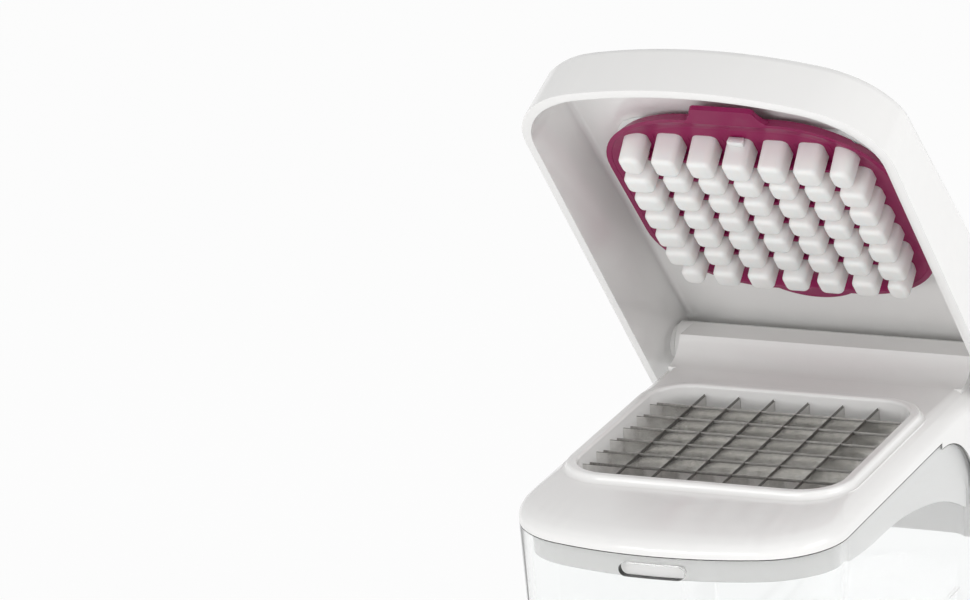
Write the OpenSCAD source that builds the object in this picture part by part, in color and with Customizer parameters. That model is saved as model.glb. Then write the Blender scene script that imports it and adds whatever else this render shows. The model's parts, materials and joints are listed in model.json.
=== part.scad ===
// Hinged press chopper: a clear tub, a white housing with a lattice of crossed
// blades in its collar, and a deep lid whose square pegs push food through the
// blades. It is drawn with the lid open. X is to the right, Y to the hinge, Z up.
// The middle of the blade lattice is over the middle of the base.

/* [Size] */
// width of the housing, and of the tub at its seam
body_w = 115; // [104:1:140]
// from the middle of the blades to the front of the housing
front_reach = 93; // [80:1:115]
// from the middle of the blades to the back of the housing
rear_reach = 84; // [76:1:105]
// height of the cutting edges above the table
blade_z = 116; // [90:1:150]
// how far the lid stands open
open_deg = 46.6; // [0:0.1:70]

/* [Blades] */
// distance from one strip to the next, which is the size of the dice
pitch = 12.7; // [9:0.1:13]
// cells along each side of the lattice
cells = 7; // [5:2:7]
// thickness of a strip
strip_t = 0.6; // [0.4:0.05:1]
// height of a strip
strip_h = 11; // [8:0.5:16]
// height of the ground edge
edge_h = 0.9; // [0.4:0.1:1.5]
// how far a strip's end sits in the collar wall
tab_in = 2; // [1:0.1:3]
// how far a strip's end is cut down
tab_drop = 0.9; // [0.4:0.1:2]

/* [Housing] */
// how far the seam lies below the cutting edges
seam_drop = 8; // [6:0.5:14]
// thickness of the moulded walls
wall = 2.6; // [1.8:0.1:4]
// how far the deck lies above the cutting edges
deck_rise = 0.5; // [-2:0.1:3]
// how far the collar's top lies above the cutting edges
ring_rise = 3; // [1.5:0.1:6]
// width of the collar's flat top
ring_w = 3.8; // [2.5:0.1:6]
// room beside the lattice in the collar, left and right
side_gap = 2.75; // [1:0.05:5]
// room in front of the lattice
front_gap = 3.5; // [1:0.05:6]
// room behind the lattice
rear_gap = 0.4; // [0.2:0.05:5]
// radius of the collar's corners
collar_r = 14; // [8:1:20]
// depth of the skirt that sits in the tub
skirt_h = 7.6; // [5:0.1:14]
// radius of the drop of the seam towards the back
drop_r = 38; // [25:1:50]

/* [Tub] */
// how far the tub's walls lean in at the bottom
draft = 4; // [1:0.5:8]
// radius of the tub's bottom edge
foot_r = 7; // [3:0.5:12]
// width of the slot for the latch tab
slot_w = 23.2; // [16:0.1:32]
// height of that slot
slot_h = 4.8; // [3.5:0.1:6]
// how far the middle of the slot lies below the seam
slot_drop = 5.7; // [4:0.1:8]

/* [Lid] */
// how far the lid stands out beside the housing
lid_side = 8; // [6.5:0.5:14]
// how far the lid stands out in front of the housing
lid_front = 10.3; // [8:0.1:24]
// thickness of the lid's rim
rim_w = 3.4; // [2:0.1:4]
// how far the closed rim's front lies below the cutting edges
rim_drop = 8.7; // [6:0.1:14]
// how much further the rim falls towards the hinge
rim_fall = 8.5; // [0:0.1:10]
// how far the closed lid's top lies above the cutting edges
top_rise = 15.8; // [13:0.1:20]
// thickness of the lid's top
top_t = 3.4; // [2:0.1:4]
// thickness of the soft pad on the lid
pad_t = 1.8; // [1:0.1:4]

/* [Pusher] */
// room between a peg's tip and the blades beside it
peg_gap = 1.2; // [0.5:0.05:2]
// how far a peg widens towards its root
peg_flare = 0.5; // [0.05:0.05:0.6]
// how far the front pegs reach out beyond the others
peg_out = 1.4; // [0:0.1:2]
// how far the pegs at the sides reach out
peg_side = 0.7; // [0:0.1:1.4]
// how much narrower the four corner pegs are
peg_narrow = 1.3; // [0:0.1:2]
// how far the closed pegs reach below the cutting edges
peg_dip = 2; // [1:0.1:6]
// how much longer the outer pegs are
peg_extra = 1.3; // [0:0.1:2]
// thickness of the pusher's plate
plate_t = 2.6; // [1:0.1:3]

/* [Cleaning grid] */
// thickness of the grid
grid_t = 1.8; // [1:0.1:3]
// how far its edge turns towards the blades
grid_lip = 2; // [0:0.1:4]
// room between a peg and its hole
grid_gap = 0.35; // [0.2:0.05:0.5]
// how far the grid stands out beside the lattice
grid_side = 7.5; // [5.5:0.5:12]
// how far it stands out in front of the lattice and behind it
grid_ends = 13.5; // [8:0.5:16]
// width of its finger tab
grid_tab_w = 23; // [14:0.5:40]

/* [Hinge] */
// distance of the lid's axis behind the housing
hinge_back = 10.4; // [8:0.1:16]
// height of the axis above the cutting edges
hinge_up = 1.1; // [-4:0.1:4]
// radius of the hinge pins
pin_r = 3; // [2:0.1:4]
// radius of the lid's round back
back_r = 14; // [12:0.1:18]
// running clearance of a turning pin
run_gap = 0.05; // [0.02:0.01:0.1]

/* [Pour door] */
// width of the pouring opening
door_w = 62; // [40:1:76]
// height of the pouring opening
door_h = 23; // [14:1:28]
// room around the door
door_gap = 0.4; // [0.3:0.05:0.8]

/* [Hidden] */
$fn = 64;
far = 400;
eps = 0.01;
leaf = 0.05;

bw = body_w / 2;
seam_z = blade_z - seam_drop;
deck_z = blade_z + deck_rise;
ring_z = blade_z + ring_rise;
grid_half = cells * pitch / 2;
strips = cells - 1;

// plan of the housing: a bowed front, round front corners and smaller rear ones
bow_r = 130;
front_corner_r = 30;
rear_corner_r = 14;

// collar opening
open_x = grid_half + side_gap;
open_front = grid_half + front_gap;
open_rear = grid_half + rear_gap;
open_mid = (open_rear - open_front) / 2;
open_y = (open_rear + open_front) / 2;
collar_bottom = blade_z - strip_h - 1;
ring_round = 1.1;
ring_foot = 1.6;

// frame under the collar, and the screws of the whole part
frame_t = 2.4;
frame_in = 1.2;
lug_r = 3.6;
screw_r = 1.25;
head_h = 1.6;
head_seat = 0.9;
flat_head_h = 1;

// seam that drops behind the blades
drop_y = rear_reach - drop_r - 9.5;
drop_z = seam_z - 2.2 - drop_r;
seam_gap = 0.3;

// tub and skirt
tub_bottom = 1;
base_in = 5;
base_t = 2.2;
skirt_in = wall + 2.2;
skirt_t = 2;
slot_z = seam_z - slot_drop;

// lid, drawn closed and then turned
lid_hw = bw + lid_side;
lid_y = -(front_reach + lid_front);
rim_z = blade_z - rim_drop - rim_fall;
top_z = blade_z + top_rise;
ceil_z = top_z - top_t;
plate_z = ceil_z - plate_t;
tip_z = blade_z - peg_dip;
hinge_y = rear_reach + hinge_back;
hinge_z = blade_z + hinge_up;
rim_tilt = atan(rim_fall / (hinge_y - lid_y));
rim_bevel = 0.7;
rim_leaf = 0.4;
boss_r = 7.2;
boss_end = bw + 1.5;
ear_end = boss_end + 0.5;
pin_in = 12;
lid_bow_r = 144;
lid_corner_r = 34;
pin_out = 2.8;

// a peg's width and corners at its tip, and the cleaning grid's half sizes and corners
peg_w = pitch - strip_t - 2 * peg_gap;
peg_r = 0.25 * peg_w;
grid_x = grid_half + grid_side;
grid_y = grid_half + grid_ends;
grid_r = 36;
grid_slope = 2.5;

// pouring door in the back of the housing
door_top = drop_z + 6 + door_h;
door_axis_y = rear_reach + 0.4;
knuckle_r = 2.4;
knuckle_w = 48;
door_pin_r = 1;
door_t = 2.2;

// ---- shapes that several pieces share ----

// a rounded rectangle, half sizes hx and hy
module round_rect(hx, hy, r) {
  union() {
    square([2 * hx, 2 * (hy - r)], center = true);
    square([2 * (hx - r), 2 * hy], center = true);
    for (sx = [-1, 1], sy = [-1, 1])
      translate([sx * (hx - r), sy * (hy - r)]) circle(r);
  }
}

// the plan: half width hw, front at yf, back at yr, drawn in by d all round
module plan(hw, yf, yr, rb, rf, rr, d, trim = 1) {
  cx = hw - rf;
  by = yf + rb;
  cy = by - sqrt(pow(rb - rf, 2) - cx * cx);
  k = far / norm([cx, by - cy]);
  union() {
    translate([-(hw - d), cy]) square([2 * (hw - d), yr - rr - cy]);
    translate([-(hw - rr), cy]) square([2 * (hw - rr), yr - d - cy]);
    for (s = [-1, 1]) {
      translate([s * cx, cy]) circle(rf - d);
      translate([s * (hw - rr), yr - rr]) circle(max(rr - d, 1));
    }
    intersection() {
      translate([0, by]) circle(rb - d, $fn = 180);
      polygon([[0, by], [-cx * k * trim, by - (by - cy) * k],
               [cx * k * trim, by - (by - cy) * k]]);
      translate([-far / 2, yf - 1]) square([far, cy + 1 - yf]);
    }
  }
}

module body_plan(d) {
  plan(bw, -front_reach, rear_reach, bow_r, front_corner_r, rear_corner_r, d);
}

module body_block(d, z0, z1) {
  translate([0, 0, z0]) linear_extrude(z1 - z0) body_plan(d);
}

// everything above the seam, which runs level and then drops to the back;
// low moves it down and gap grows it all round
module above_seam(low, gap) {
  rotate([90, 0, 90]) translate([0, 0, -far / 2]) linear_extrude(far) union() {
    translate([-far / 2, seam_z - low - gap]) square([far / 2 + drop_y + eps, far]);
    difference() {
      translate([drop_y, drop_z - low - gap]) square([far / 2, far]);
      translate([drop_y, drop_z - low]) circle(drop_r - gap, $fn = 128);
    }
  }
}

// the lid's plan, drawn in by ds at the sides and df in front, its corners by dr
module lid_plan(ds, df, dr) {
  plan(lid_hw - ds, lid_y + df, hinge_y, lid_bow_r - df, lid_corner_r - dr, 1, 0);
}

// a thin slice of the lid
module lid_slice(z, ds, df, dr) {
  translate([0, 0, z]) linear_extrude(leaf) lid_plan(ds, df, dr);
}

// a slice on the rim's plane, which falls from the front to the hinge
module rim_slice(up, ds, df, dr) {
  translate([0, hinge_y, rim_z + up]) rotate([-rim_tilt, 0, 0])
    translate([0, -hinge_y, 0]) linear_extrude(rim_leaf) lid_plan(ds, df, dr);
}

// a bar along X
module x_rod(r, x0, x1, y, z) {
  translate([x0, y, z]) rotate([0, 90, 0]) cylinder(h = x1 - x0, r = r);
}

// what is drawn closed stands open
module opened() {
  translate([0, hinge_y, hinge_z]) rotate([-open_deg, 0, 0])
    translate([0, -hinge_y, -hinge_z]) children();
}

// a screw that points down, its head's top at the origin
module screw(r, len, head) {
  difference() {
    union() {
      translate([0, 0, -head]) cylinder(h = head, r = r * 1.8);
      translate([0, 0, -len]) cylinder(h = len, r = r);
    }
    for (a = [0, 90])
      rotate([0, 0, a]) translate([-r, -0.3, -0.6 * head]) cube([2 * r, 0.6, head]);
  }
}

// ---- tub ----

// the tub's form, drawn in by d, from a round bottom edge to its mouth
module tub_form(d, z0) {
  lean = draft / (seam_z - tub_bottom);
  function inset(z) = d + lean * (seam_z - z);
  hull() {
    for (a = [0, 30, 60, 90])
      translate([0, 0, z0 + foot_r * (1 - sin(a))])
        linear_extrude(eps)
          body_plan(inset(z0) + foot_r * (1 - cos(a)));
    translate([0, 0, seam_z - eps]) linear_extrude(eps) body_plan(d);
  }
}

module container() {
  color([0.9, 0.95, 0.96, 0.35]) difference() {
    tub_form(0, tub_bottom);
    tub_form(wall, tub_bottom + 4);
    // the mouth
    body_block(wall, seam_z - 1, seam_z + 1);
    above_seam(0, seam_gap);
    // seat of the base
    body_block(draft + base_in, -1, base_t);
    // slot for the latch tab
    translate([0, -front_reach, slot_z]) rotate([90, 0, 0])
      translate([0, 0, -3 * wall]) linear_extrude(6 * wall) hull()
        for (s = [-1, 1])
          translate([s * (slot_w - slot_h) / 2, 0]) circle(slot_h / 2);
  }
}

module non_slip_base() {
  color([0.86, 0.87, 0.88]) difference() {
    body_block(draft + base_in + 0.2, 0, base_t);
    // grooves across the underside
    for (i = [-4 : 4])
      translate([-bw + 18, i * 14 - 4, -eps]) cube([2 * bw - 36, 1.6, 0.6 + eps]);
  }
}

// ---- housing ----

module deck_form() {
  hull() {
    body_block(0, seam_z, seam_z + 2);
    deck_slice(3.4, 0.3, 0.4);
    deck_slice(5.2, 1.3, 2.4);
    deck_slice(6.8, 3, 7);
    deck_slice(8, 5, 16);
    deck_slice(8.5, 6.3, 27);
  }
}

// a slice of the deck, up from the seam, drawn in at the sides and in front
module deck_slice(up, ds, df) {
  rise = up * (deck_z - seam_z) / 8.5;
  translate([0, 0, seam_z + rise - leaf]) linear_extrude(leaf)
    plan(bw - ds, -front_reach + df, rear_reach, bow_r - df, front_corner_r - ds,
         rear_corner_r - ds, 0, 0.9);
}

// sweeps a section of (out, up) round a rounded rectangle, half sizes hx and hy
module round_sweep(hx, hy, r) {
  for (q = [0 : 3]) {
    cx = (q == 0 || q == 3 ? 1 : -1) * (hx - r);
    cy = (q < 2 ? 1 : -1) * (hy - r);
    side = 2 * (q % 2 == 0 ? hy - r : hx - r);
    translate([cx, cy, 0]) rotate([0, 0, 90 * q]) {
      rotate_extrude(angle = 90) translate([r, 0]) children();
      rotate([90, 0, 0]) linear_extrude(side) translate([r, 0]) children();
    }
  }
}

// the collar's section: wall, ring with a rounded top, and a soft foot on the deck
module collar_section() {
  up = ring_z - deck_z;
  union() {
    translate([-0.5, collar_bottom]) square([ring_w + 0.5, deck_z - collar_bottom]);
    translate([-0.5, deck_z]) square([ring_w + 0.5, up - ring_round]);
    translate([ring_round, deck_z]) square([ring_w - 2 * ring_round, up]);
    for (x = [ring_round, ring_w - ring_round])
      translate([x, ring_z - ring_round]) circle(ring_round);
    difference() {
      translate([ring_w - eps, deck_z - 1]) square([ring_foot, 1 + ring_foot]);
      translate([ring_w + ring_foot, deck_z + ring_foot]) circle(ring_foot);
    }
  }
}

module collar_outer() {
  translate([0, open_mid, 0]) round_sweep(open_x, open_y, collar_r) collar_section();
}

module collar_hole(z0) {
  translate([0, open_mid, z0]) linear_extrude(far)
    round_rect(open_x, open_y, collar_r);
}

// slots in the collar wall that take the strips' ends, open below
module strip_slots() {
  w = strip_t + 0.1;
  top = blade_z - tab_drop + 0.1;
  for (i = [0 : strips - 1]) {
    p = (i - (strips - 1) / 2) * pitch;
    translate([-open_x - tab_in - 0.2, p - w / 2, collar_bottom - 1])
      cube([2 * (open_x + tab_in + 0.2), w, top - collar_bottom + 1]);
    translate([p - w / 2, -open_front - tab_in - 0.2, collar_bottom - 1])
      cube([w, open_front + open_rear + 2 * (tab_in + 0.2), top - collar_bottom + 1]);
  }
}

// the ramp that rises to the hinge, and the barrel the pins sit in
module hinge_block() {
  ramp_r = 14;
  ramp_y = rear_reach - 16;
  ramp_top = hinge_z + 7.3;
  translate([-bw + 3.4, 0, 0]) rotate([90, 0, 90]) linear_extrude(body_w - 6.8)
    difference() {
      translate([ramp_y, deck_z - 6]) square([hinge_back + 16, ramp_top - deck_z + 6]);
      translate([ramp_y, deck_z + ramp_r]) circle(ramp_r);
    }
  x_rod(boss_r, -boss_end, boss_end, hinge_y, hinge_z);
}

module screw_places() {
  for (x = [-25, 0, 25]) {
    translate([x, -open_front - ring_w - 3, collar_bottom - frame_t]) children();
    translate([x, open_rear + ring_w + 3, collar_bottom - frame_t]) mirror([0, 1, 0]) children();
  }
}

// a round lug and its web towards the collar
module lug(h) {
  cylinder(h = h, r = lug_r);
  translate([-lug_r, 0, 0]) cube([2 * lug_r, frame_in + 4, h]);
}

module door_cut(grow) {
  translate([-door_w / 2 - grow, rear_reach - 4 * wall, door_top - door_h - grow])
    cube([door_w + 2 * grow, 8 * wall, door_h + 2 * grow]);
}

module housing() {
  color([0.96, 0.96, 0.95]) difference() {
    union() {
      difference() {
        union() {
          deck_form();
          // side and rear walls that follow the dropping seam
          intersection() {
            difference() {
              body_block(0, drop_z - 1, seam_z + 1);
              body_block(wall, drop_z - 2, seam_z + 2);
            }
            above_seam(0, 0);
          }
          // skirt inside the tub
          intersection() {
            difference() {
              body_block(skirt_in, drop_z - skirt_h, seam_z + 1);
              body_block(skirt_in + skirt_t, drop_z - skirt_h - 1, seam_z + 2);
            }
            above_seam(skirt_h, 0);
          }
        }
        // hollow under the deck
        body_block(skirt_in + skirt_t, seam_z - 1, deck_z - 3.5);
      }
      // rear wall, full thickness round the door
      intersection() {
        body_block(0, drop_z, seam_z + 1);
        translate([-bw + 16, rear_reach - skirt_in - skirt_t, drop_z])
          cube([body_w - 32, skirt_in + skirt_t, seam_z - drop_z]);
      }
      collar_outer();
      hinge_block();
      screw_bosses();
      for (s = [-1, 1])
        x_rod(knuckle_r, s > 0 ? knuckle_w / 2 + 0.4 : -door_w / 2 - 2,
              s > 0 ? door_w / 2 + 2 : -knuckle_w / 2 - 0.4, door_axis_y, door_top);
    }
    collar_hole(collar_bottom - frame_t - 1);
    strip_slots();
    // pouring opening and the room of the door's knuckle
    door_cut(0);
    x_rod(knuckle_r + 0.5, -knuckle_w / 2 - 0.4, knuckle_w / 2 + 0.4, door_axis_y, door_top);
    x_rod(door_pin_r + 0.01, -door_w / 2 - 1, door_w / 2 + 1, door_axis_y, door_top);
    // bores of the hinge pins
    for (s = [-1, 1])
      x_rod(pin_r + 0.01, s > 0 ? boss_end - pin_in : -boss_end - 1,
            s > 0 ? boss_end + 1 : -boss_end + pin_in, hinge_y, hinge_z);
    // threads of the frame's screws
    screw_places() cylinder(h = frame_t + 7, r = screw_r + 0.02);
  }
}

module screw_bosses() {
  screw_places() translate([0, 0, frame_t]) lug(deck_z - 2 - collar_bottom);
}

// the latch tab on the skirt, behind the tub's slot; its face follows the tub's wall
module front_latch() {
  tab_h = slot_h - 0.8;
  tab_w = slot_w - 0.8;
  reach_in = tab_w * tab_w / (8 * bow_r);
  color([0.93, 0.93, 0.95]) intersection() {
    translate([0, -front_reach + skirt_in, slot_z]) rotate([90, 0, 0])
      translate([0, 0, -reach_in]) linear_extrude(skirt_in + reach_in) union() {
        square([tab_w - tab_h, tab_h], center = true);
        for (s = [-1, 1]) translate([s * (tab_w - tab_h) / 2, 0]) circle(tab_h / 2);
      }
    difference() {
      body_block(wall + 0.7, slot_z - slot_h, slot_z + slot_h);
      body_block(skirt_in, slot_z - slot_h - 1, slot_z + slot_h + 1);
    }
  }
}

// ---- blades ----

// a strip's outline along its length, from -a to b, notched from one side
module strip_outline(a, b, tab_a, tab_b, from_top) {
  gap = strip_t + 0.08;
  difference() {
    union() {
      translate([-a, -strip_h]) square([a + b, strip_h]);
      translate([-a - tab_a, -strip_h]) square([a + b + tab_a + tab_b, strip_h - tab_drop]);
    }
    for (i = [0 : strips - 1])
      translate([(i - (strips - 1) / 2) * pitch - gap / 2,
                 from_top ? -strip_h / 2 - 0.04 : -strip_h - 1])
        square([gap, from_top ? strip_h : strip_h / 2 + 1.04]);
  }
}

// section of a strip: flat sides and a ground edge at the top
module strip_section() {
  polygon([[-strip_t / 2, -strip_h], [strip_t / 2, -strip_h], [strip_t / 2, -edge_h],
           [0.06, 0], [-0.06, 0], [-strip_t / 2, -edge_h]]);
}

module strip_solid(a, b, tab_a, tab_b, from_top) {
  intersection() {
    rotate([90, 0, 0]) translate([0, 0, -strip_t / 2]) linear_extrude(strip_t)
      strip_outline(a, b, tab_a, tab_b, from_top);
    rotate([90, 0, 90]) translate([0, 0, -far / 2]) linear_extrude(far)
      strip_section();
  }
}

module blades_cross() {
  color([0.78, 0.79, 0.8])
    for (i = [0 : strips - 1])
      translate([0, (i - (strips - 1) / 2) * pitch, blade_z])
        strip_solid(open_x - side_gap + 0.2, open_x - side_gap + 0.2,
                    side_gap + tab_in - 0.2, side_gap + tab_in - 0.2, false);
}

module blades_long() {
  color([0.78, 0.79, 0.8])
    for (i = [0 : strips - 1])
      translate([(i - (strips - 1) / 2) * pitch, 0, blade_z]) rotate([0, 0, 90])
        strip_solid(open_front - front_gap + 0.2, open_rear - 0.6,
                    front_gap + tab_in - 0.2, tab_in + 0.6, true);
}

// the frame that holds the strips up in the collar's slots
module blade_frame() {
  color([0.94, 0.94, 0.93]) difference() {
    union() {
      translate([0, open_mid, collar_bottom - frame_t]) linear_extrude(frame_t)
        round_rect(open_x + ring_w - frame_in, open_y + ring_w - frame_in,
                   collar_r + ring_w - frame_in);
      screw_places() lug(frame_t);
      strip_rests();
    }
    collar_hole(collar_bottom - frame_t - 1);
    screw_places() {
      translate([0, 0, -1]) cylinder(h = frame_t + 2, r = screw_r + 0.25);
      translate([0, 0, -1]) cylinder(h = 1 + head_seat, r = 2 * screw_r);
    }
  }
}

// small feet in the slots, one under each end of each strip
module strip_rests() {
  w = strip_t;
  h = frame_t + 1;
  for (i = [0 : strips - 1], s = [-1, 1]) {
    p = (i - (strips - 1) / 2) * pitch;
    translate([s * (open_x + tab_in / 2) - tab_in / 2, p - w / 2, collar_bottom - frame_t])
      cube([tab_in, w, h]);
    translate([p - w / 2, s > 0 ? open_rear : -open_front - tab_in, collar_bottom - frame_t])
      cube([w, tab_in, h]);
  }
}

module frame_screws() {
  color([0.7, 0.71, 0.73]) screw_places() translate([0, 0, head_seat - head_h])
    rotate([180, 0, 0]) screw(screw_r, frame_t + 6, head_h);
}

// ---- pouring door ----

module pour_door() {
  z0 = door_top - door_h + door_gap;
  color([0.95, 0.95, 0.94]) difference() {
    union() {
      translate([-door_w / 2 + door_gap, rear_reach - door_t, z0])
        cube([door_w - 2 * door_gap, door_t, door_h - knuckle_r - 2 * door_gap]);
      translate([-knuckle_w / 2, rear_reach - door_t, door_top - knuckle_r - 1.5])
        cube([knuckle_w, door_t, knuckle_r + 1.5]);
      x_rod(knuckle_r, -knuckle_w / 2, knuckle_w / 2, door_axis_y, door_top);
      // finger ledge
      translate([-13, rear_reach - eps, z0 + 1]) cube([26, 3.2, 1.8]);
      // ribs on the inside
      for (x = [-22, 22])
        translate([x - 0.8, rear_reach - door_t - 1.6, z0 + 2])
          cube([1.6, 1.6 + eps, door_h - 9]);
    }
    x_rod(door_pin_r + run_gap, -knuckle_w / 2 - 1, knuckle_w / 2 + 1, door_axis_y, door_top);
  }
}

module door_pin() {
  color([0.74, 0.75, 0.77])
    x_rod(door_pin_r, -door_w / 2 - 1, door_w / 2 + 1, door_axis_y, door_top);
}

// ---- lid ----

module hinge_pins() {
  color([0.74, 0.75, 0.77]) for (s = [-1, 1])
    x_rod(pin_r, s > 0 ? boss_end - pin_in : -ear_end - pin_out,
          s > 0 ? ear_end + pin_out : -boss_end + pin_in, hinge_y, hinge_z);
}

module lid_outer() {
  hull() {
    rim_slice(-rim_bevel, rim_w / 2, rim_w / 2, rim_w / 2);
    rim_slice(0, 0, 0, 0);
    lid_slice(top_z - 5.8, 1.5, 7, 1);
    lid_slice(top_z - 3.4, 2.3, 8.9, 1.5);
    lid_slice(top_z - 1.5, 4.4, 11.9, 3);
    lid_slice(top_z - 0.4, 6.8, 15.3, 5);
    lid_slice(top_z - leaf, 9.6, 19.7, 7);
    x_rod(back_r, -lid_hw + 1.5, lid_hw - 1.5, hinge_y, hinge_z);
  }
}

module lid_inner() {
  in_front = rim_w - 0.4;
  hull() {
    rim_slice(-rim_bevel - 1, rim_w - 0.1, in_front - 0.2, rim_w - 1);
    rim_slice(-rim_bevel, rim_w, in_front, rim_w - 1);
    lid_slice(ceil_z - 5, rim_w + 2, in_front + 7.2, rim_w + 1);
    lid_slice(ceil_z - 1.6, rim_w + 2.8, in_front + 9.4, rim_w + 2);
    lid_slice(ceil_z - 0.4, rim_w + 4, in_front + 12, rim_w + 4);
    lid_slice(ceil_z - leaf, rim_w + 5.6, in_front + 15, rim_w + 6);
    x_rod(back_r - rim_w, -lid_hw + rim_w + 2.2, lid_hw - rim_w - 2.2, hinge_y, hinge_z);
  }
}

module lid_shell() {
  color([0.97, 0.97, 0.96]) opened() difference() {
    union() {
      difference() {
        lid_outer();
        lid_inner();
        // the back is open below, so that it turns clear of the barrel
        translate([-ear_end, hinge_y - 20, hinge_z - 40])
          cube([2 * ear_end, 60, 36]);
      }
      // ears that carry the pins
      for (s = [-1, 1])
        x_rod(boss_r - 1, s > 0 ? ear_end : -lid_hw + rim_w,
              s > 0 ? lid_hw - rim_w : -ear_end, hinge_y, hinge_z);
    }
    for (s = [-1, 1])
      x_rod(pin_r + run_gap, s > 0 ? ear_end - 1 : -ear_end - pin_out - 0.5,
            s > 0 ? ear_end + pin_out + 0.5 : -ear_end + 1, hinge_y, hinge_z);
    pad_seat();
    pusher_screw_places() {
      translate([0, 0, -far / 2]) cylinder(h = far, r = screw_r + 0.25);
      translate([0, 0, -flat_head_h - 0.05]) cylinder(h = far, r = 2 * screw_r);
    }
  }
}

// seat of the soft pad in the lid's top
module pad_seat() {
  translate([0, 0, top_z - 0.8]) linear_extrude(far) pad_plan(0);
}

// plan of the pad's seat, drawn in by gap
module pad_plan(gap) {
  plan(lid_hw - 13, lid_y + 25.5, hinge_y - 9, lid_bow_r - 25.5, lid_corner_r - 8, 12, gap);
}

module soft_top() {
  crown = 1;
  color([0.9, 0.9, 0.9]) opened() hull() {
    translate([0, 0, top_z - 0.8]) linear_extrude(pad_t - 0.6) pad_plan(0.2);
    translate([0, 0, top_z - 0.8 + pad_t - 0.5]) linear_extrude(eps) pad_plan(0.6);
    translate([0, 0, top_z - 0.8 + pad_t]) linear_extrude(eps) pad_plan(3);
    translate([0, 0, top_z - 0.8 + pad_t + crown / 2]) linear_extrude(eps) pad_plan(9);
  }
}

// ---- pusher and cleaning grid ----

// the middle of a peg
function place(i) = (i - (cells - 1) / 2) * pitch;

// plan of a peg, grown by g; the corner pegs are rounded to follow the collar
module peg_plan(i, j, g) {
  corner = (i == 0 || i == cells - 1) && (j == 0 || j == cells - 1);
  side = corner ? -peg_narrow : peg_side;
  x0 = -peg_w / 2 - (i == 0 ? side : 0) - g;
  x1 = peg_w / 2 + (i == cells - 1 ? side : 0) + g;
  y0 = -peg_w / 2 - (j == 0 ? peg_out : 0) - g;
  y1 = peg_w / 2 + g;
  in = 1.6 - g;
  intersection() {
    rounded_box(x0, x1, y0, y1, peg_r + g);
    if (corner)
      translate([-place(i), open_mid - place(j)])
        round_rect(open_x - in, open_y - in, collar_r - in, $fn = 96);
  }
}

module rounded_box(x0, x1, y0, y1, r) {
  translate([(x0 + x1) / 2, (y0 + y1) / 2])
    round_rect((x1 - x0) / 2, (y1 - y0) / 2, r, $fn = 16);
}

module pusher() {
  nub_w = 5.8;
  nub_h = 2.6;
  color([0.97, 0.97, 0.96]) opened() union() {
    difference() {
      translate([0, open_mid, plate_z]) linear_extrude(plate_t)
        round_rect(open_x - 0.6, open_y - 0.6, collar_r);
      pusher_screw_places() translate([0, 0, -far / 2]) cylinder(h = far, r = screw_r + 0.02);
    }
    for (i = [0 : cells - 1], j = [0 : cells - 1]) {
      outer = i == 0 || j == 0 || i == cells - 1 || j == cells - 1;
      low = tip_z - (outer ? peg_extra : 0);
      translate([place(i), place(j), low]) peg(i, j, plate_z + 0.2 - low);
    }
    // snap nub that holds the cleaning grid
    translate([-nub_w / 2, place(0) - peg_w / 2 - peg_out - 1.2, plate_z - grid_t - nub_h - 0.2])
      cube([nub_w, 2.4, nub_h]);
  }
}

// one peg, flared towards its root
module peg(i, j, h) {
  linear_extrude(h, scale = 1 + 2 * peg_flare / peg_w) peg_plan(i, j, 0);
}

module pusher_screw_places() {
  for (sx = [-1, 1], sy = [-1, 1])
    translate([sx * pitch * 2.5, sy * pitch * 2.5, top_z - 0.8]) children();
}

module pusher_screws() {
  color([0.7, 0.71, 0.73]) opened() pusher_screw_places()
    screw(screw_r, top_t + plate_t - 1, flat_head_h);
}

// a slice of the cleaning grid's dished edge, drawn in by d
module grid_slice(z, d) {
  translate([0, 0, z]) linear_extrude(leaf)
    round_rect(grid_x - d, grid_y - d, grid_r - d);
}

// the finger tab in front and the small bulge behind, level with the edge
module grid_tabs() {
  half = grid_tab_w / 2;
  bulge_r = 22;
  difference() {
    union() {
      polygon([[-half - 4, 2 - grid_y], [-half - 1.1, -grid_y - 2.5], [-half, -grid_y - 5],
               [half, -grid_y - 5], [half + 1.1, -grid_y - 2.5], [half + 4, 2 - grid_y]]);
      translate([0, -grid_y - 4]) round_rect(half, 3.5, 2);
      translate([0, grid_y + 4.5 - bulge_r]) circle(bulge_r);
    }
    round_rect(grid_x - 1.6, grid_y - 1.6, grid_r - 1.6);
  }
}

module cleaning_grid() {
  z1 = plate_z - 0.05;
  z0 = z1 - grid_t;
  low = z0 - grid_lip;
  color([0.56, 0.2, 0.38]) opened() difference() {
    union() {
      hull() {
        grid_slice(z1 - leaf, grid_slope);
        grid_slice(low, 0);
      }
      translate([0, 0, low]) linear_extrude(grid_t) grid_tabs();
    }
    hull() {
      grid_slice(z0 - leaf, grid_slope + 0.7);
      grid_slice(low - 1, 1.2);
    }
    for (i = [0 : cells - 1], j = [0 : cells - 1])
      translate([place(i), place(j), z0 - 1]) linear_extrude(far)
        peg_plan(i, j, grid_gap + peg_flare);
  }
}

container();
non_slip_base();
housing();
front_latch();
blade_frame();
frame_screws();
blades_cross();
blades_long();
pour_door();
door_pin();
hinge_pins();
lid_shell();
soft_top();
pusher();
pusher_screws();
cleaning_grid();
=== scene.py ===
"""The hinged press chopper's looks: finishes, the soft forms its CAD pieces lack, floor, light and camera."""
import json
import math

import bmesh
import bpy
from mathutils import Matrix, Vector


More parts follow.
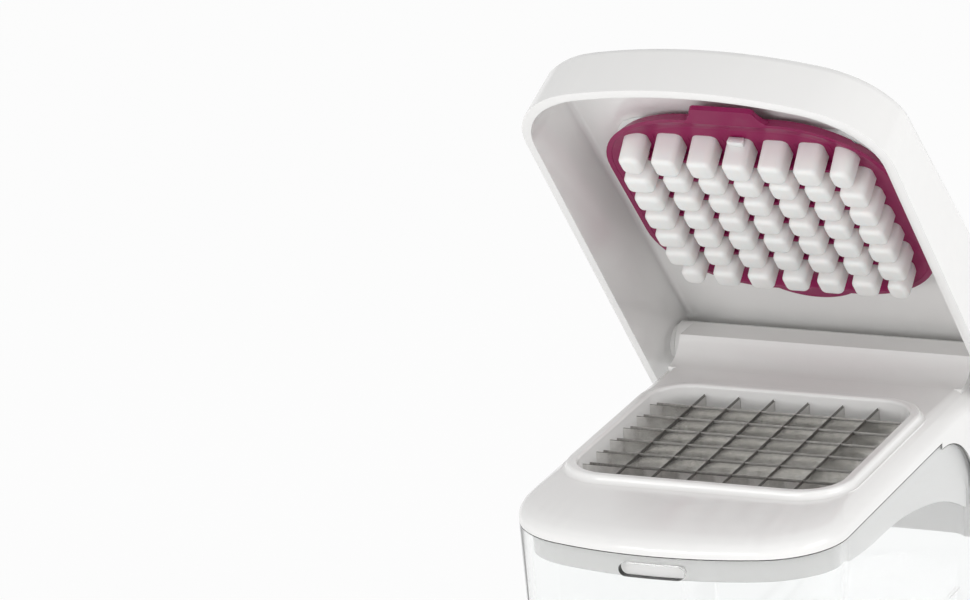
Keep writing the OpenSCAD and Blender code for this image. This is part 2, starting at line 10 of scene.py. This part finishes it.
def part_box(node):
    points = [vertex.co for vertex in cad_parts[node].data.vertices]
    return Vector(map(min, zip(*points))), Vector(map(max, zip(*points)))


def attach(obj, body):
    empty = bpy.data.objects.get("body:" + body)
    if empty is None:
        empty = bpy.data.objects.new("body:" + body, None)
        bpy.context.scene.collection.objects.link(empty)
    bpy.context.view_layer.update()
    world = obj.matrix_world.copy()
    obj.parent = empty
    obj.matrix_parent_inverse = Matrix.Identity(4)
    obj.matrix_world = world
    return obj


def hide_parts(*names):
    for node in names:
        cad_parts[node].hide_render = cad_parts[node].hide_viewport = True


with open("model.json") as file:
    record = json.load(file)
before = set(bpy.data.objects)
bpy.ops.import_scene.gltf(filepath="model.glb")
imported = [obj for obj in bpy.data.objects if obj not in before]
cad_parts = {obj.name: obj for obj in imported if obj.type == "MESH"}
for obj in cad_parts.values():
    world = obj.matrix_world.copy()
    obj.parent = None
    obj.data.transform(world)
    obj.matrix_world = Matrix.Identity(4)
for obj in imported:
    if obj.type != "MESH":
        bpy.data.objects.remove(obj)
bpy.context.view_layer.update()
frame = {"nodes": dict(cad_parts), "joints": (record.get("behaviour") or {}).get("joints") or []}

nodes = frame["nodes"]
scene = bpy.context.scene
MM = 0.001

# sizes shared with the CAD pieces, in millimetres
PITCH = 12.7            # of the pegs and of the grid's bars
PEGS = 7                # in a row
SEAM = 108.0            # height of the seam between housing and tub
RIM_DROP_Y = 36         # where the tub's rim starts to fall towards the back
RIM_REAR_Z = 66         # height of the rim's lowest stretch

# shading
SMOOTH_ANGLE = 34       # degrees; CAD pieces and the skirt are sharp from here
FORM_ANGLE = 40         # degrees; the same for the forms made below
UPWARD = 0.12           # a face looks up when its normal's z is above this

# the camera, solved from the photograph: metres, and two directions of the picture
LENS_MM = 259.8
CAMERA_PLACE = Vector((0.80544, -2.09715, 0.89696))
PICTURE_RIGHT = Vector((0.92439393, 0.37783013, -0.05234754))
PICTURE_UP = Vector((-0.07036205, 0.30378642, 0.95013841))


# ---- camera ----

def make_camera():
    """A long lens in front of the object, to its right and above it, rolled by about three degrees."""
    right = PICTURE_RIGHT.normalized()
    back = right.cross(PICTURE_UP).normalized()
    up = back.cross(right)
    data = bpy.data.cameras.new("camera")
    data.sensor_fit = "HORIZONTAL"
    data.sensor_width = 36.0
    data.lens = LENS_MM
    data.clip_start = 0.1
    data.clip_end = 60.0
    camera = bpy.data.objects.new("camera", data)
    scene.collection.objects.link(camera)
    turn = Matrix((right, up, back)).transposed()
    camera.matrix_world = Matrix.Translation(CAMERA_PLACE) @ turn.to_4x4()
    scene.camera = camera


# ---- materials ----

class Shader:
    """A material's node tree, with short calls for what the finishes below need."""

    def __init__(self, name):
        self.material = bpy.data.materials.new(name)
        self.material.use_nodes = True
        self.tree = self.material.node_tree
        self.nodes = self.tree.nodes
        self.links = self.tree.links
        self.bsdf = self.nodes["Principled BSDF"]
        self.output = self.nodes["Material Output"]
        self.place = None

    def new(self, kind, **values):
        node = self.nodes.new(kind)
        for key, value in values.items():
            setattr(node, key, value)
        return node

    def set(self, **values):
        """Sets the shader's own sockets; an underscore stands for a space."""
        for key, value in values.items():
            self.bsdf.inputs[key.replace("_", " ")].default_value = value

    def coordinates(self, stretch):
        """Object coordinates in millimetres, stretched."""
        if self.place is None:
            self.place = self.new("ShaderNodeTexCoord")
        mapping = self.new("ShaderNodeMapping")
        mapping.inputs["Scale"].default_value = [s / MM for s in stretch]
        self.links.new(self.place.outputs["Object"], mapping.inputs["Vector"])
        return mapping.outputs["Vector"]

    def noise(self, size, detail, stretch=(1, 1, 1)):
        """Noise whose blotches are about size millimetres across."""
        node = self.new("ShaderNodeTexNoise")
        node.inputs["Scale"].default_value = 1.0 / size
        node.inputs["Detail"].default_value = detail
        node.inputs["Roughness"].default_value = 0.5
        self.links.new(self.coordinates(stretch), node.inputs["Vector"])
        return node.outputs["Fac"]

    def ramp(self, value, low, high):
        """Turns value into a colour or a grey between low and high."""
        node = self.new("ShaderNodeValToRGB")
        for element, place, colour in zip(node.color_ramp.elements, (0.3, 0.7), (low, high)):
            element.position = place
            element.color = (*colour, 1) if isinstance(colour, tuple) else (colour, colour, colour, 1)
        self.links.new(value, node.inputs["Fac"])
        return node.outputs["Color"]

    def link(self, value, socket):
        self.links.new(value, self.bsdf.inputs[socket])

    def bump(self, height, strength, distance, below=None):
        """A bump of distance millimetres, laid over the bump below."""
        node = self.new("ShaderNodeBump")
        node.inputs["Strength"].default_value = strength
        node.inputs["Distance"].default_value = distance * MM
        self.links.new(height, node.inputs["Height"])
        if below is not None:
            self.links.new(below, node.inputs["Normal"])
        return node.outputs["Normal"]


def darker(colour, share):
    """A colour with a share of its light taken away."""
    return tuple(c * (1 - share) for c in colour)


def moulded_plastic(name, colour, spread, roughness, grain_size, grain_depth):
    """Moulded plastic: a faint drift of colour and gloss, and a fine skin; grain sizes in millimetres."""
    s = Shader(name)
    s.link(s.ramp(s.noise(size=45, detail=3), darker(colour, spread), colour), "Base Color")
    s.link(s.ramp(s.noise(size=8, detail=3), roughness * 0.85, roughness * 1.15), "Roughness")
    waves = s.bump(s.noise(size=14, detail=1), strength=0.35, distance=0.03)
    grain = s.noise(size=grain_size, detail=2)
    s.link(s.bump(grain, strength=0.5, distance=grain_depth, below=waves), "Normal")
    s.set(IOR=1.49)
    return s


def white_gloss():
    s = moulded_plastic("white_gloss", (0.885, 0.879, 0.868), spread=0.015, roughness=0.2,
                        grain_size=0.5, grain_depth=0.003)
    s.set(Coat_Weight=0.25, Coat_Roughness=0.06)
    return s.material


def white_frame():
    s = moulded_plastic("white_frame", (0.84, 0.836, 0.826), spread=0.02, roughness=0.38,
                        grain_size=0.4, grain_depth=0.006)
    return s.material


def pusher_white():
    s = moulded_plastic("pusher_white", (0.93, 0.922, 0.902), spread=0.015, roughness=0.5,
                        grain_size=0.35, grain_depth=0.006)
    s.set(Subsurface_Weight=0.35, Subsurface_Radius=(0.007, 0.005, 0.0045), Subsurface_Scale=1.0)
    return s.material


def soft_pad():
    s = moulded_plastic("soft_pad", (0.7, 0.7, 0.7), spread=0.03, roughness=0.62,
                        grain_size=0.3, grain_depth=0.02)
    s.set(Sheen_Weight=0.15, Sheen_Roughness=0.5)
    return s.material


def base_pad():
    s = moulded_plastic("base_pad", (0.58, 0.59, 0.6), spread=0.04, roughness=0.66,
                        grain_size=0.4, grain_depth=0.02)
    return s.material


def grid_plum():
    s = moulded_plastic("grid_plum", (0.265, 0.009, 0.083), spread=0.08, roughness=0.36,
                        grain_size=0.4, grain_depth=0.006)
    s.set(Specular_IOR_Level=0.25)
    return s.material


def brushed_steel(name, colour, roughness, stretch):
    """Ground steel, with fine lines along the axis that stretch shrinks."""
    s = Shader(name)
    s.link(s.ramp(s.noise(size=2.2, detail=3), darker(colour, 0.14), colour), "Base Color")
    lines = s.noise(size=0.35, detail=3, stretch=stretch)
    s.link(s.ramp(lines, roughness * 0.7, roughness * 1.4), "Roughness")
    s.link(s.bump(lines, strength=0.25, distance=0.006), "Normal")
    s.set(Metallic=1.0)
    return s.material


def ground_edge():
    """The ground bevel on a strip, darker than its faces."""
    s = Shader("ground_edge")
    s.link(s.ramp(s.noise(size=0.5, detail=2), (0.17, 0.165, 0.155), (0.3, 0.29, 0.275)), "Base Color")
    s.link(s.ramp(s.noise(size=1.5, detail=2), 0.36, 0.5), "Roughness")
    s.set(Metallic=1.0)
    return s.material


def painted_shade_rim():
    """The tub's rim under the housing: painted shade, dark as a clear wall's edge looks in the shadow of a
    narrow gap.
    """
    s = Shader("painted_shade_rim")
    s.link(s.ramp(s.noise(size=12, detail=2), (0.035, 0.03, 0.03), (0.07, 0.06, 0.058)), "Base Color")
    s.link(s.ramp(s.noise(size=3, detail=2), 0.4, 0.55), "Roughness")
    return s.material


def clear_plastic():
    s = Shader("clear_tub")
    s.set(Base_Color=(0.985, 0.992, 0.99, 1), Transmission_Weight=1.0, IOR=1.49)
    s.link(s.ramp(s.noise(size=6, detail=3), 0.015, 0.035), "Roughness")
    s.link(s.bump(s.noise(size=30, detail=1), strength=0.15, distance=0.05), "Normal")
    return s.material


def print_ink():
    s = Shader("print_ink")
    s.link(s.ramp(s.noise(size=0.6, detail=2), (0.78, 0.78, 0.78), (0.86, 0.86, 0.86)), "Base Color")
    s.link(s.ramp(s.noise(size=0.4, detail=2), 0.45, 0.6), "Roughness")
    return s.material


# ---- the CAD nodes' finish ----

def smooth_group(name, weld_mm):
    """Geometry nodes that weld a node's vertices and shade it smooth below the smooth angle."""
    group = bpy.data.node_groups.new(name, "GeometryNodeTree")
    group.interface.new_socket("Geometry", in_out="INPUT", socket_type="NodeSocketGeometry")
    group.interface.new_socket("Geometry", in_out="OUTPUT", socket_type="NodeSocketGeometry")
    make = group.nodes.new
    start = make("NodeGroupInput")
    end = make("NodeGroupOutput")
    weld = make("GeometryNodeMergeByDistance")
    weld.inputs["Distance"].default_value = weld_mm * MM
    faces = make("GeometryNodeSetShadeSmooth")
    faces.domain = "FACE"
    edges = make("GeometryNodeSetShadeSmooth")
    edges.domain = "EDGE"
    edges.inputs["Shade Smooth"].default_value = False
    bend = make("GeometryNodeInputMeshEdgeAngle")
    sharp = make("FunctionNodeCompare")
    sharp.data_type = "FLOAT"
    sharp.operation = "GREATER_THAN"
    sharp.inputs[1].default_value = math.radians(SMOOTH_ANGLE)
    join = group.links.new
    join(start.outputs[0], weld.inputs["Geometry"])
    join(weld.outputs["Geometry"], faces.inputs["Geometry"])
    join(faces.outputs["Geometry"], edges.inputs["Geometry"])
    join(bend.outputs["Unsigned Angle"], sharp.inputs[0])
    join(sharp.outputs["Result"], edges.inputs["Selection"])
    join(edges.outputs["Geometry"], end.inputs[0])
    return group


def smooth(piece, group):
    """Shades a CAD node smooth, its flat faces kept flat."""
    bpy.context.view_layer.objects.active = piece
    if piece.data.has_custom_normals:
        bpy.ops.mesh.customdata_custom_splitnormals_clear()
    piece.modifiers.new("smooth", "NODES").node_group = group
    even = piece.modifiers.new("even", "WEIGHTED_NORMAL")
    even.keep_sharp = True
    even.weight = 60


def paint(piece, material, second=None, picked=None):
    """Gives a piece its material, and the faces that picked chooses a second one."""
    piece.data.materials.clear()
    piece.data.materials.append(material)
    if second is not None:
        piece.data.materials.append(second)
    for face in piece.data.polygons:
        face.material_index = 1 if second is not None and picked(face) else 0


def on_bevel(face):
    """Whether a strip's face belongs to its ground edge."""
    return face.normal.z > UPWARD


def on_rim(face):
    """Whether a face of the tub lies on its rim, below the seam, where the rim's painted shade goes."""
    middle = face.center
    level = middle.z > (SEAM - 1.5) * MM
    dropping = middle.y > RIM_DROP_Y * MM and middle.z > RIM_REAR_Z * MM
    return face.normal.z > UPWARD and (level or dropping)


def finish_nodes():
    """Gives each CAD node its finish and smooth shading."""
    fine = smooth_group("smooth_fine", weld_mm=0.002)
    shells = smooth_group("smooth_shell", weld_mm=0.06)
    gloss = white_gloss()
    steel = brushed_steel("steel", (0.62, 0.62, 0.63), roughness=0.3, stretch=(1, 1, 0.2))
    cross = brushed_steel("blade_cross", (0.9, 0.89, 0.872), roughness=0.13, stretch=(0.05, 1, 1))
    along = brushed_steel("blade_long", (0.8, 0.79, 0.772), roughness=0.13, stretch=(1, 0.05, 1))
    looks = {
        "container": (clear_plastic(), shells),
        "non_slip_base": (base_pad(), fine),
        "housing": (gloss, shells),
        "front_latch": (gloss, fine),
        "blade_frame": (white_frame(), fine),
        "frame_screws": (steel, fine),
        "blades_cross": (cross, fine),
        "blades_long": (along, fine),
        "pour_door": (gloss, fine),
        "door_pin": (steel, fine),
        "hinge_pins": (steel, fine),
        "lid_shell": (gloss, shells),
        "pusher": (pusher_white(), fine),
        "pusher_screws": (steel, fine),
        "cleaning_grid": (grid_plum(), shells),
    }
    edges = (ground_edge(), on_bevel)
    # the tub's rim faces take the painted shade of the narrow gap under the housing
    second = {"blades_cross": edges, "blades_long": edges, "container": (painted_shade_rim(), on_rim)}
    for name, (material, group) in looks.items():
        paint(nodes[name], material, *second.get(name, ()))
        smooth(nodes[name], group)
    # lid_pad stands for this node, which isn't seen
    paint(nodes["soft_top"], looks["non_slip_base"][0])


# ---- outlines and meshes for the forms made here ----

def lid_turn():
    """The lid's axis and how far it stands open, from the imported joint."""
    joint = next(j for j in frame["joints"] if j["name"] == "lid_hinge")
    return joint["pos_m"], math.radians(-joint["range_deg"][0])


def turned(points, angle):
    """Points turned about the lid's axis; a positive angle opens a closed lid."""
    (_, y0, z0), _ = lid_turn()
    c, s = math.cos(angle), math.sin(angle)
    out = []
    for x, y, z in points:
        dy, dz = y - y0, z - z0
        out.append((x, y0 + dy * c + dz * s, z0 - dy * s + dz * c))
    return out


def opened(ring):
    """A ring in millimetres with the lid shut, as metres with the lid where it stands."""
    _, angle = lid_turn()
    return turned([(x * MM, y * MM, z * MM) for x, y, z in ring], angle)


def arc(x, y, radius, start, end, steps):
    """Points on an arc, angles in degrees, without its last point."""
    angles = [math.radians(start + (end - start) * i / steps) for i in range(steps)]
    return [(x + radius * math.cos(a), y + radius * math.sin(a)) for a in angles]


def bowed_outline(half, front, rear, bow, corner, back, inset):
    """A closed outline with a bowed front edge, drawn in by inset; all in metres, from the front's middle."""
    bow_steps, corner_steps, side_steps, back_steps, rear_steps = 22, 24, 16, 16, 12
    cx = half - corner
    bow_y = front + bow
    cy = bow_y - math.sqrt((bow - corner) ** 2 - cx * cx)
    meet = math.degrees(math.atan2(cy - bow_y, cx))
    right = arc(0, bow_y, bow - inset, -90, meet, bow_steps)
    right += arc(cx, cy, corner - inset, meet, 0, corner_steps)
    side = rear - back - cy
    right += [(half - inset, cy + side * i / side_steps) for i in range(side_steps)]
    right += arc(half - back, rear - back, back - inset, 0, 90, back_steps)
    right += [((half - back) * (1 - i / rear_steps), rear - inset) for i in range(rear_steps + 1)]
    left = [(-x, y) for x, y in reversed(right[1:-1])]
    return right + left


def rounded_box(x0, x1, y0, y1, radius, steps=6):
    """A closed outline with four round corners, from the right rear one round by the left."""
    corners = ((x1, y1, -1, -1, 0), (x0, y1, 1, -1, 90), (x0, y0, 1, 1, 180), (x1, y0, -1, 1, 270))
    points = []
    for x, y, sx, sy, start in corners:
        cx, cy = x + sx * radius, y + sy * radius
        end = math.radians(start + 90)
        points += arc(cx, cy, radius, start, start + 90, steps)
        points.append((cx + radius * math.cos(end), cy + radius * math.sin(end)))
    return points


def box_ring(z, *box):
    """A rounded box's outline at a height."""
    return [(x, y, z) for x, y in rounded_box(*box)]


def add_rings(work, rings, fan=False):
    """Adds a closed skin through rings of equal count; each end is one face, or a fan round a middle."""
    rows = [[work.verts.new(p) for p in ring] for ring in rings]
    count = len(rings[0])
    for low, high in zip(rows, rows[1:]):
        for k in range(count):
            n = (k + 1) % count
            work.faces.new((low[k], low[n], high[n], high[k]))
    for row in (rows[0][::-1], rows[-1]):
        if fan:
            middle = work.verts.new(sum((v.co for v in row), Vector()) / count)
            for k in range(count):
                work.faces.new((row[k], row[(k + 1) % count], middle))
        else:
            work.faces.new(row)


def finished(name, work, sharp=180):
    """The piece of a mesh in the making: smooth, with edges left sharp from an angle in degrees."""
    bmesh.ops.recalc_face_normals(work, faces=work.faces)
    for face in work.faces:
        face.smooth = True
    for edge in work.edges:
        edge.smooth = edge.calc_face_angle(0) < math.radians(sharp)
    mesh = bpy.data.meshes.new(name)
    work.to_mesh(mesh)
    work.free()
    piece = bpy.data.objects.new(name, mesh)
    scene.collection.objects.link(piece)
    return piece


def smooth_table(table, at):
    """The value at a place, on a smooth curve through a table of (place, value)."""
    if at <= table[0][0]:
        return table[0][1]
    for k in range(len(table) - 1):
        (a, low), (b, high) = table[k], table[k + 1]
        if at <= b:
            before, after = table[max(k - 1, 0)], table[min(k + 2, len(table) - 1)]
            span = b - a
            m0 = (high - before[1]) / (b - before[0]) * span
            m1 = (after[1] - low) / (after[0] - a) * span
            u = (at - a) / span
            return ((2 * u ** 3 - 3 * u * u + 1) * low + (u ** 3 - 2 * u * u + u) * m0
                    + (3 * u * u - 2 * u ** 3) * high + (u ** 3 - u * u) * m1)
    return table[-1][1]


# ---- pieces that stand for a CAD node or add to it ----

def make_pad():
    """The soft pad on the lid: a thin crowned inlay with a rolled edge, in place of its plain solid."""
    _, angle = lid_turn()
    closed = turned([tuple(v.co) for v in nodes["soft_top"].data.vertices], -angle)
    half = max(p[0] for p in closed)
    front, rear = min(p[1] for p in closed), max(p[1] for p in closed)
    seat, crown = min(p[2] for p in closed), max(p[2] for p in closed)
    bow, corner, back, below_crown = 118.5 * MM, 26 * MM, 12 * MM, 0.05 * MM
    rolled_edge = [(0.02, 0.02), (0, 0.3), (0, 0.8), (0.05, 1.0), (0.18, 1.14), (0.4, 1.24), (0.9, 1.34),
                   (1.8, 1.5), (3, 1.7), (4.5, 1.88), (6.2, 2.02), (8, 2.12), (9.6, 2.18)]
    rings = []
    for inset, up in rolled_edge:
        outline = bowed_outline(half, front, rear, bow, corner, back, inset * MM)
        rings.append([(x, y, seat + up * MM) for x, y in outline])
    last = rings[-1]
    edge_z = last[0][2]
    middle_y = (front + rear) / 2
    rise = crown - below_crown - edge_z
    for share in (0.88, 0.72, 0.54, 0.36, 0.18, 0.06):
        z = edge_z + rise * (1 - share * share)
        rings.append([(x * share, middle_y + (y - middle_y) * share, z) for x, y, _ in last])
    work = bmesh.new()
    add_rings(work, [turned(ring, angle) for ring in rings], fan=True)
    pad = finished("lid_pad", work)
    paint(pad, soft_pad())
    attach(pad, "lid")
    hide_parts("soft_top")


def peg_rings(i, j):
    """The rings of one peg from its root to its filleted tip, in millimetres, with the lid shut."""
    width, corner, outer_corner, least_corner = 8.9, 2.3, 3.2, 0.35
    fillet, fillet_steps, tip_inset, tip_dome, flare = 1.75, 6, 0.9, 0.03, 0.3
    root, tip, outer_extra = 126.0, 113.7, 1.0
    outer_side, corner_side, left_trim, front_extra = 0.75, -1.2, 0.45, 1.3
    last = PEGS - 1
    at_side, at_end = i in (0, last), j in (0, last)
    side = corner_side if at_end else outer_side
    x0 = -width / 2 - side if i == 0 else -width / 2 + left_trim
    x1 = width / 2 + side if i == last else width / 2
    y0 = -width / 2 - front_extra if j == 0 else -width / 2
    y1 = width / 2
    cx, cy = (i - last / 2) * PITCH, (j - last / 2) * PITCH
    low = tip - outer_extra if at_side or at_end else tip
    levels = [(0, root), (0, (root + low) / 2)]
    for k in range(fillet_steps + 1):
        a = math.radians(90 * k / fillet_steps)
        levels.append((fillet * (1 - math.cos(a)), low + fillet * (1 - math.sin(a))))
    levels.append((fillet + tip_inset, low - tip_dome))
    rings = []
    for inset, z in levels:
        grow = 1 + 2 * flare / width * (z - low) / (root - low)
        radius = max((outer_corner if at_side and at_end else corner) - inset, least_corner)
        outline = rounded_box(x0 + inset, x1 - inset, y0 + inset, y1 - inset, radius)
        rings.append([(cx + x * grow, cy + y * grow, z) for x, y in outline])
    return rings


def plate_rings():
    """The plate that joins the pegs, inside the lid."""
    half, front, rear, corner = 46.6, -47.35, 44.25, 14
    levels = ((0.4, 125.8), (0, 126.2), (0, 128.0), (0.4, 128.35))
    return [box_ring(z, -half + d, half - d, front + d, rear - d, corner - d) for d, z in levels]


def nub_rings():
    """The snap nub on the front of the middle peg."""
    half, face, behind, corner = 2.9, -44.82, -42.5, 0.4
    levels = ((123.8, 0.5, 0.5), (123.6, 0.75, 0.2), (121.4, 1.35, 0), (121.1, 1.3, 0.15), (120.9, 1.0, 0.45))
    return [box_ring(z, -half + narrow, half - narrow, face - proud, behind, corner, 3)
            for z, proud, narrow in levels]


def make_pegs():
    """The peg plate with softly filleted pegs and its snap nub, in place of the plain one."""
    forms = [peg_rings(i, j) for i in range(PEGS) for j in range(PEGS)]
    work = bmesh.new()
    for rings in forms + [plate_rings(), nub_rings()]:
        add_rings(work, [opened(ring) for ring in rings])
    pegs = finished("peg_plate", work, FORM_ANGLE)
    paint(pegs, nodes["pusher"].data.materials[0])
    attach(pegs, "lid")
    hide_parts("pusher")


def bar_rings(at, start, end, across):
    """One bar of the cleaning grid at a place, running across the lid or along it."""
    half, top, foot, end_gap = 1.075, 124.4, 120.3, 0.02
    rings = []
    for inset, z in ((0, top), (0, foot + 0.5), (0.15, foot + 0.15), (0.5, foot)):
        side = half - inset
        outline = rounded_box(start, end, -side, side, side - end_gap, 3)
        rings.append([(x, at + y, z) if across else (at - y, x, z) for x, y in outline])
    return rings


def dish_rings():
    """The soft dish of the cleaning grid's flange, from just inside its edge up to the plate."""
    half_x, half_y, corner = 51.95, 57.95, 36
    levels = ((1.9, 124.4), (1.0, 122.05), (1.5, 122.08), (2.6, 122.3), (4, 122.8), (5.4, 123.3),
              (6.8, 123.65), (8, 123.85), (9.5, 124.1))
    return [box_ring(z, -half_x + d, half_x - d, -half_y + d, half_y - d, corner - d, 24) for d, z in levels]


def make_grid_bars():
    """The cleaning grid's bars between the pegs, deeper than its flange, and the flange's dish."""
    forms = []
    for k in range(PEGS - 1):
        at = (k - (PEGS - 2) / 2) * PITCH
        forms.append(bar_rings(at, -35, 35, across=True))
        forms.append(bar_rings(at, -32, 38, across=False))
    forms.append(dish_rings())
    work = bmesh.new()
    for rings in forms:
        add_rings(work, [opened(ring) for ring in rings])
    bars = finished("grid_bars", work, FORM_ANGLE)
    paint(bars, nodes["cleaning_grid"].data.materials[0])
    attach(bars, "lid")


def skirt_section(foot):
    """Pairs of inset and height round the skirt's wall above its foot, in millimetres."""
    lean, outer_inset, inner_inset, over_seam = 0.0374, 4.0, 6.7, 0.3
    heights = (SEAM + over_seam, SEAM - 2, (SEAM + foot) / 2, foot + 0.6)
    outer = [(outer_inset + lean * (SEAM - z), z) for z in heights]
    out = outer[-1][0]
    turn = [(out + 0.06, foot + 0.25), (out + 0.25, foot + 0.06), (out + 0.6, foot)]
    inner = [(inner_inset - 0.4, foot), (inner_inset - 0.08, foot + 0.1), (inner_inset, foot + 0.4)]
    return outer + turn + inner + [(inner_inset, SEAM + over_seam)]


def make_skirt():
    """The housing's skirt where it shows through the tub: deeper at the sides, as the photograph has it."""
    low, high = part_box("container")
    half, front, rear = high[0], low[1], high[1]
    bow, corner, back = 130 * MM, 30 * MM, 14 * MM
    # the foot's height along the tub, from the front to the back
    foot_line = [(-93, 98.9), (-82, 98.9), (-70, 98.2), (-58, 97.2), (-46, 95.8), (-30, 94.4), (-12, 93.9),
                 (2, 92.9), (20, 89.9), (40, 85.2), (56, 79.3), (70, 72.6), (84, 66)]
    plain = bowed_outline(half, front, rear, bow, corner, back, 0)
    shown = [i for i, (_, y) in enumerate(plain) if y <= rear - back + 0.1 * MM]
    shown.sort(key=lambda i: i if plain[i][0] >= 0 else i - len(plain))
    rings = []
    for i in shown:
        ring = []
        for inset, z in skirt_section(smooth_table(foot_line, plain[i][1] / MM)):
            x, y = bowed_outline(half, front, rear, bow, corner, back, inset * MM)[i]
            ring.append((x, y, z * MM))
        rings.append(ring)
    work = bmesh.new()
    add_rings(work, rings)
    band = finished("skirt_band", work, SMOOTH_ANGLE)
    paint(band, nodes["housing"].data.materials[0])
    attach(band, "top")


def make_marks():
    """Plain measuring ticks, printed on the tub's right wall."""
    wall = nodes["container"]
    thick, line, step, lowest, count = 0.06 * MM, 0.7 * MM, 5.5 * MM, 15 * MM, 7
    long_tick, short_tick, end_y, outside = 10 * MM, 6 * MM, 56 * MM, 0.1
    work = bmesh.new()
    for i in range(count):
        z = lowest + i * step
        start_y = end_y - (short_tick if i % 2 else long_tick)
        outer = []
        for y, up in ((start_y, -line / 2), (end_y, -line / 2), (end_y, line / 2), (start_y, line / 2)):
            _, place, normal, _ = wall.ray_cast(Vector((outside, y, z + up)), Vector((-1, 0, 0)))
            outer.append(place + normal * thick)
        inner = [p - Vector((1.4 * thick, 0, 0)) for p in outer]
        add_rings(work, [inner, outer])
    marks = finished("tub_marks", work, FORM_ANGLE)
    paint(marks, print_ink())
    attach(marks, "base")


# ---- floor and light ----

def seen_rays(s, kinds):
    """1 for rays of the named kinds, which show a surface to the eye."""
    path = s.nodes.new("ShaderNodeLightPath")
    seen = path.outputs[kinds[0]]
    for kind in kinds[1:]:
        either = s.nodes.new("ShaderNodeMath")
        either.operation = "MAXIMUM"
        s.links.new(seen, either.inputs[0])
        s.links.new(path.outputs[kind], either.inputs[1])
        seen = either.outputs[0]
    return seen


def make_floor():
    """A pale floor that shows white to the eye and keeps the object's shadow."""
    half, glow_share = 14.0, 0.92
    mesh = bpy.data.meshes.new("floor")
    corners = [(-half, -half, 0), (half, -half, 0), (half, half, 0), (-half, half, 0)]
    mesh.from_pydata(corners, [], [(0, 1, 2, 3)])
    floor = bpy.data.objects.new("floor", mesh)
    scene.collection.objects.link(floor)
    s = Shader("floor")
    s.link(s.ramp(s.noise(size=400, detail=2), (0.86, 0.86, 0.86), (0.9, 0.9, 0.9)), "Base Color")
    s.set(Roughness=0.6)
    glow = s.new("ShaderNodeEmission")
    glow.inputs["Strength"].default_value = 1.0
    shown = s.new("ShaderNodeMixShader")
    shown.inputs["Fac"].default_value = glow_share
    s.links.new(s.bsdf.outputs[0], shown.inputs[1])
    s.links.new(glow.outputs[0], shown.inputs[2])
    choose = s.new("ShaderNodeMixShader")
    seen = seen_rays(s, ("Is Camera Ray", "Is Glossy Ray", "Is Transmission Ray"))
    s.links.new(seen, choose.inputs["Fac"])
    s.links.new(s.bsdf.outputs[0], choose.inputs[1])
    s.links.new(shown.outputs[0], choose.inputs[2])
    s.links.new(choose.outputs[0], s.output.inputs["Surface"])
    floor.data.materials.append(s.material)


def make_world():
    """White to the eye, and a softer even light on the object."""
    world = bpy.data.worlds.new("world")
    scene.world = world
    world.use_nodes = True
    tree = world.node_tree
    plain = tree.nodes["Background"]
    plain.inputs["Color"].default_value = (1, 1, 1, 1)
    plain.inputs["Strength"].default_value = 0.7
    bright = tree.nodes.new("ShaderNodeBackground")
    bright.inputs["Color"].default_value = (1, 1, 1, 1)
    bright.inputs["Strength"].default_value = 1.0
    choose = tree.nodes.new("ShaderNodeMixShader")
    tree.links.new(seen_rays(tree, ("Is Camera Ray", "Is Transmission Ray")), choose.inputs["Fac"])
    tree.links.new(plain.outputs[0], choose.inputs[1])
    tree.links.new(bright.outputs[0], choose.inputs[2])
    tree.links.new(choose.outputs[0], tree.nodes["World Output"].inputs["Surface"])


def make_lamp(name, place, aim, size, power):
    """A rectangular lamp in metres and watts, turned to its aim."""
    data = bpy.data.lights.new(name, "AREA")
    data.shape = "RECTANGLE"
    data.size, data.size_y = size
    data.energy = power
    lamp = bpy.data.objects.new(name, data)
    scene.collection.objects.link(lamp)
    lamp.location = place
    lamp.rotation_mode = "QUATERNION"
    lamp.rotation_quaternion = (Vector(aim) - Vector(place)).to_track_quat("-Z", "Y")


def make_lights():
    """A large lamp to the right of the object and a low one in front of it."""
    make_lamp("right", place=(1.95, -0.1, 0.65), aim=(0, 0, 0.16), size=(1.2, 1.0), power=12.2)
    make_lamp("front", place=(-0.3, -2.0, 0.33), aim=(0, 0, 0.2), size=(1.5, 0.6), power=13.3)


make_camera()
finish_nodes()
make_pad()
make_pegs()
make_grid_bars()
make_skirt()
make_marks()
make_floor()
make_world()
make_lights()
scene.view_settings.view_transform = "Standard"
